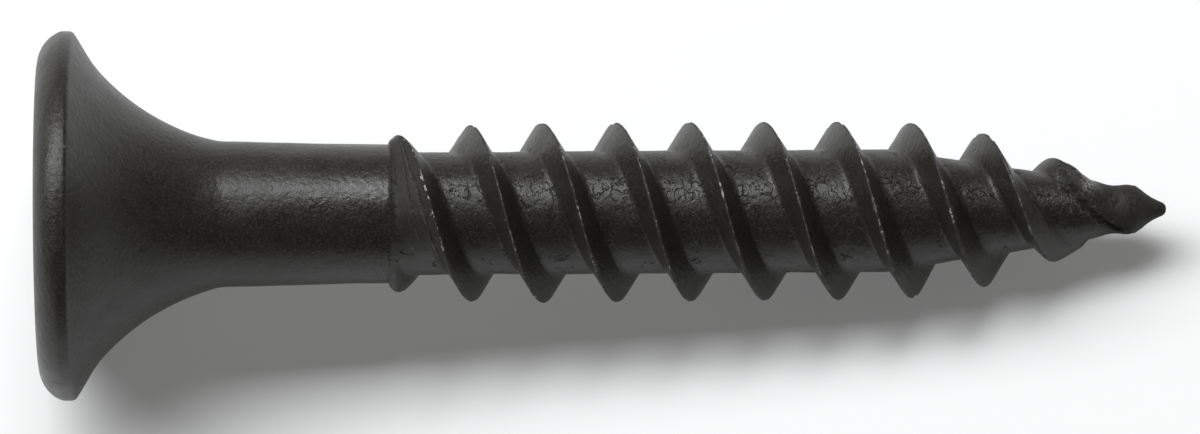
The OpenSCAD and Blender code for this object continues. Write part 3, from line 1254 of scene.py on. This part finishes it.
@dataclass
class Skin:
    """A closed surface, gathered as blocks of points and joined by place."""

    grid: float = 1e-5
    places: list[np.ndarray] = field(default_factory=list)
    marks: list[np.ndarray] = field(default_factory=list)
    corners: list[np.ndarray] = field(default_factory=list)
    count: int = 0

    def block(self, places: np.ndarray, marks: np.ndarray, shift: int = 0) -> None:
        """Adds a block of points and the faces between them.

        Args:
            places: Points by column and row.
            marks: What the finish reads there, by column and row.
            shift: Rows that the block climbs in one turn.
        """
        columns, rows = places.shape[:2]
        numbers = self.count + np.arange(columns * rows).reshape(columns, rows)
        after = np.roll(numbers, -1, axis=0)
        last = np.minimum(np.arange(rows) + shift, rows - 1)
        after[-1] = numbers[0][last]
        near, far = numbers[:, :-1], numbers[:, 1:]
        near_on, far_on = after[:, :-1], after[:, 1:]
        self.corners.append(np.stack([near, near_on, far_on], axis=-1).reshape(-1, 3))
        self.corners.append(np.stack([near, far_on, far], axis=-1).reshape(-1, 3))
        self.places.append(places.reshape(-1, 3))
        self.marks.append(marks.reshape(-1, marks.shape[-1]))
        self.count += columns * rows

    def joined(self) -> tuple[np.ndarray, np.ndarray, np.ndarray]:
        """Merges points that share a place and drops faces that vanish.

        Returns:
            Points, marks and triangles.
        """
        places, marks = np.concatenate(self.places), np.concatenate(self.marks)
        keys = np.round(places / self.grid).astype(np.int64)
        _, first, kept = np.unique(keys, axis=0, return_index=True, return_inverse=True)
        faces = kept.reshape(-1)[np.concatenate(self.corners)]
        whole = (faces[:, 0] != faces[:, 1]) & (faces[:, 1] != faces[:, 2]) & (faces[:, 0] != faces[:, 2])
        return places[first], marks[first], faces[whole]


@dataclass(frozen=True)
class RestPose:
    """How the screw lies: on the back of its rim and on one crest near the point."""

    lean: float = math.radians(6.47996)
    roll: float = math.radians(90)
    shift: float = -12.2342
    axis_height: float = 4.15011

    def matrix(self) -> Matrix:
        """From the screw's own millimetres to its place on the floor, in metres."""
        place = Matrix.Translation((self.shift * MM, 0, self.axis_height * MM))
        turn = Matrix.Rotation(math.pi / 2 + self.lean, 4, "Y") @ Matrix.Rotation(self.roll, 4, "Z")
        return place @ turn @ Matrix.Scale(MM, 4)


@dataclass
class DrywallScrew:
    """The whole screw as one closed skin."""

    head: BugleHead = field(default_factory=BugleHead)
    recess: CrossRecess = field(default_factory=CrossRecess)
    thread: TwinThread = field(default_factory=TwinThread)
    nose: Nose = field(default_factory=Nose)
    pose: RestPose = field(default_factory=RestPose)
    finish: BlackPhosphate = field(default_factory=BlackPhosphate)
    columns: int = 200
    stretch_ends: tuple[float, float, float] = (7.76, 9.80, 22.60)
    plain_off: float = 0.8
    plain_height: float = 1.0
    burnished: Span = (4.2, 7.72)
    burnished_to: float = 8.72
    dull_from: float = 24.15
    dented_to: Span = (7.66, 7.16)
    dented_from: float = 0.5
    unevenness: tuple[Span, ...] = ((0.006, 1.6), (0.0025, 0.5))
    lip_pushes: tuple[tuple[float, Span], ...] = (
        (0.045, (math.radians(20), 0.7)),
        (0.060, (math.radians(200), 0.7)),
    )
    lip: Span = (0.85, 0.30)
    lip_reach: Span = (3.0, 3.6)
    dents: Roughcast = field(default_factory=lambda: Roughcast(21))

    def plain_marks(self, places: np.ndarray) -> np.ndarray:
        """Marks for places with no thread and no wear.

        Args:
            places: Points, with their three coordinates last.

        Returns:
            The marks: own place, thread place and wear.
        """
        along = places[..., 2]
        burnish = rise(along, self.burnished) * (along < self.burnished_to)
        # The end of the nose is dull: rougher, and darkened with painted shade.
        burnish = burnish - self.thread.point.dull * (along > self.dull_from)
        none = np.zeros_like(along)
        marks = [none + self.plain_off, none + self.plain_height, none, none, burnish, none]
        return np.concatenate([places, np.stack(marks, axis=-1)], axis=-1)

    def dented(self, places: np.ndarray) -> np.ndarray:
        """The head and shank with the faint unevenness of forging.

        Args:
            places: Points by column and row.

        Returns:
            The moved points.
        """
        along, radius = places[..., 2], np.hypot(places[..., 0], places[..., 1])
        turn = np.arctan2(places[..., 1], places[..., 0])
        push = self.dents.layers(places, *self.unevenness) * rise(along, self.dented_to)
        push *= eased(radius - self.dented_from) / np.maximum(radius, self.dented_from)
        moved = places.copy()
        moved[..., :2] *= 1 + push[..., None]
        middle, width = self.lip
        for amount, side in self.lip_pushes:
            pressed = amount * facing(turn, side) * lump(along - middle, width)
            moved[..., 2] += pressed * rise(radius, self.lip_reach)
        return moved

    def front(self, angle: np.ndarray) -> np.ndarray:
        """Points on the recess, head and shank.

        Args:
            angle: Angle of each column.

        Returns:
            The points by column and row, up to the last ring before the thread.
        """
        thread = self.thread
        shank = thread.shank_diameter / 2
        rings = self.recess.rings(self.columns, self.head.face_radius())
        outline = Softener().rows(self.head.outline(thread.shank_diameter, thread.marks.start))
        outline = outline[outline.imag < thread.first - 4 * thread.ledge]
        ledge = [complex(shank, thread.first - step * thread.ledge) for step in (3, 2, 1)]
        rings += [spun(spot.real, angle, spot.imag) for spot in np.concatenate([outline, ledge])]
        front = self.dented(np.stack(rings, axis=1))
        front[:, 0] = (0, 0, self.recess.depth + self.recess.cone_depth())
        return front

    def skin(self) -> tuple[np.ndarray, np.ndarray, np.ndarray]:
        """Builds the surface in the screw's own frame.

        Returns:
            Points in millimetres, marks and triangles.
        """
        thread = self.thread
        angle = 2 * np.pi * np.arange(self.columns) / self.columns
        first, _ = thread.skin(np.full(self.columns, thread.first), angle)
        last, _ = thread.skin(np.full(self.columns, self.nose.start), angle)
        front = np.concatenate([self.front(angle), first[:, None]], axis=1)
        tail = self.nose.skin(last, angle)
        along = thread.rows(self.columns)
        wound = thread.skin(along, np.broadcast_to(angle[:, None], along.shape))

        skin = Skin()
        skin.block(front, self.plain_marks(front))
        skin.block(*wound, thread.marks.starts * 2 * thread.half_gap_rows)
        skin.block(tail, self.plain_marks(tail))
        return skin.joined()

    def build(self) -> None:
        """Makes the screw and gives it its finish."""
        places, marks, faces = self.skin()
        mesh = bpy.data.meshes.new("screw_skin")
        mesh.from_pydata(places.tolist(), [], faces.tolist())
        for mark, start in ((Mark.PLACE, 0), (Mark.THREAD, 3), (Mark.WEAR, 6)):
            layer = mesh.attributes.new(mark.value, "FLOAT_VECTOR", "POINT")
            layer.data.foreach_set("vector", marks[:, start : start + 3].astype(np.float32).ravel())
        mesh.transform(self.pose.matrix())
        mesh.shade_smooth()
        mesh.update()
        for stretch in Stretch:
            mesh.materials.append(self.finish.material(stretch))
        along = places[faces, 2].mean(axis=1)
        slots = np.searchsorted(self.stretch_ends, along).astype(np.int32)
        mesh.polygons.foreach_set("material_index", slots)
        piece = placed("screw", mesh)
        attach(piece, "root")
        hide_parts("drywall_screw")
        log.info("screw: %d points, %d triangles", len(places), len(faces))


# Studio


@dataclass(frozen=True)
class PaleFloor:
    """A plain pale floor, white where no shadow falls."""

    half_width: float = 1.5
    colour: tuple[float, float, float, float] = (0.76, 0.76, 0.76, 1.0)
    lift: float = 0.14

    def build(self) -> None:
        """Makes the floor."""
        w = self.half_width
        mesh = bpy.data.meshes.new("floor")
        mesh.from_pydata([(-w, -w, 0), (w, -w, 0), (w, w, 0), (-w, w, 0)], [], [(0, 1, 2, 3)])
        made = bpy.data.materials.new("pale_floor")
        g = Wiring(made)
        paint = g.node("ShaderNodeBsdfDiffuse", None, {"Color": self.colour})
        rays = g.node("ShaderNodeLightPath")
        seen = g.signal(rays, "Is Camera Ray") + g.signal(rays, "Is Glossy Ray")
        seen = seen + g.signal(rays, "Is Transmission Ray")
        glow = g.node("ShaderNodeEmission", None, {"Strength": seen * self.lift})
        both = g.node("ShaderNodeAddShader", None, {0: g.signal(paint), 1: g.signal(glow)})
        g.node("ShaderNodeOutputMaterial", None, {0: g.signal(both)})
        mesh.materials.append(made)
        floor = placed("floor", mesh)


@dataclass(frozen=True)
class SoftBox:
    """A long flat lamp that hangs level with the screw and faces it."""

    name: str
    left: float
    right: float
    distance: float
    turn: float
    width: float
    power: float
    colour: tuple[float, float, float] = (1.0, 1.0, 1.0)

    def build(self) -> None:
        """Makes the lamp."""
        lamp = bpy.data.lights.new(self.name, "AREA")
        lamp.shape = "RECTANGLE"
        lamp.size, lamp.size_y = self.right - self.left, self.width
        lamp.energy = self.power
        lamp.color = self.colour
        made = placed(self.name, lamp)
        lift = Matrix.Translation(((self.left + self.right) / 2, 0, self.distance))
        made.matrix_world = Matrix.Rotation(-self.turn, 4, "X") @ lift
        made.visible_camera = False


@dataclass(frozen=True)
class StudioRoom:
    """The room round the floor: pale low down and at the back, dark over the camera's side."""

    pale: float = 0.22
    dark: float = 0.055
    low: float = 0.02
    back: float = 0.85
    blur: float = 0.12
    warmth: tuple[float, float, float, float] = (1.0, 0.97, 0.91, 1.0)

    def build(self) -> None:
        """Sets the world."""
        world = bpy.data.worlds.new("studio")
        bpy.context.scene.world = world
        g = Wiring(world)
        toward = g.node("ShaderNodeTexCoord")
        _, y, z = g.parts(g.signal(toward, "Generated"))
        line = z - g.maths("MAXIMUM", y, 0.0) * self.back - self.low
        share = line.risen(self.blur, -self.blur)
        level = share * (self.pale - self.dark) + self.dark
        sky = g.node("ShaderNodeBackground", None, {"Color": self.warmth, "Strength": level})
        g.node("ShaderNodeOutputWorld", None, {0: g.signal(sky)})


@dataclass(frozen=True)
class PhotoCamera:
    """The camera where the photograph was taken from."""

    pose: RestPose = field(default_factory=RestPose)
    distance: float = 320.0
    opposite: float = 12.448
    pixel: float = 0.02217
    photo_width: int = 1200
    turn_from_top: float = math.radians(20)
    drop: float = 0.101
    roll: float = math.radians(0.35)
    sensor: float = 36.0
    clip: float = 0.01

    def build(self) -> None:
        """Places the camera, which is the scene's."""
        lens = bpy.data.cameras.new("camera")
        lens.sensor_width = self.sensor
        lens.lens = self.sensor * self.distance / (self.photo_width * self.pixel)
        lens.clip_start = self.clip
        camera = placed("camera", lens)
        axis = Matrix.Translation((self.pose.shift * MM, 0, self.pose.axis_height * MM))
        axis = axis @ Matrix.Rotation(self.pose.lean, 4, "Y")
        over = Matrix.Translation((self.opposite * MM, 0, 0)) @ Matrix.Rotation(self.turn_from_top, 4, "X")
        back = Matrix.Translation((0, -self.drop * MM, self.distance * MM))
        camera.matrix_world = axis @ over @ Matrix.Rotation(-self.roll, 4, "Z") @ back
        bpy.context.scene.camera = camera


@dataclass
class Studio:
    """Floor, lamps, room and camera."""

    floor: PaleFloor = field(default_factory=PaleFloor)
    key: SoftBox = SoftBox("key", -0.70, 0.107, 0.40, math.radians(22), 0.15, 3.8, (0.97, 0.99, 1.0))
    room: StudioRoom = field(default_factory=StudioRoom)
    camera: PhotoCamera = field(default_factory=PhotoCamera)

    def build(self) -> None:
        """Sets the whole stage."""
        self.floor.build()
        self.key.build()
        self.room.build()
        self.camera.build()
        bpy.context.scene.view_settings.view_transform = "Standard"
        log.info("studio: floor, %s lamp, room and camera", self.key.name)


def main() -> None:
    """Builds the screw and its studio."""
    logging.basicConfig(level=logging.INFO, format="%(name)s: %(message)s")
    DrywallScrew().build()
    Studio().build()


if __name__ == "__main__":
    main()
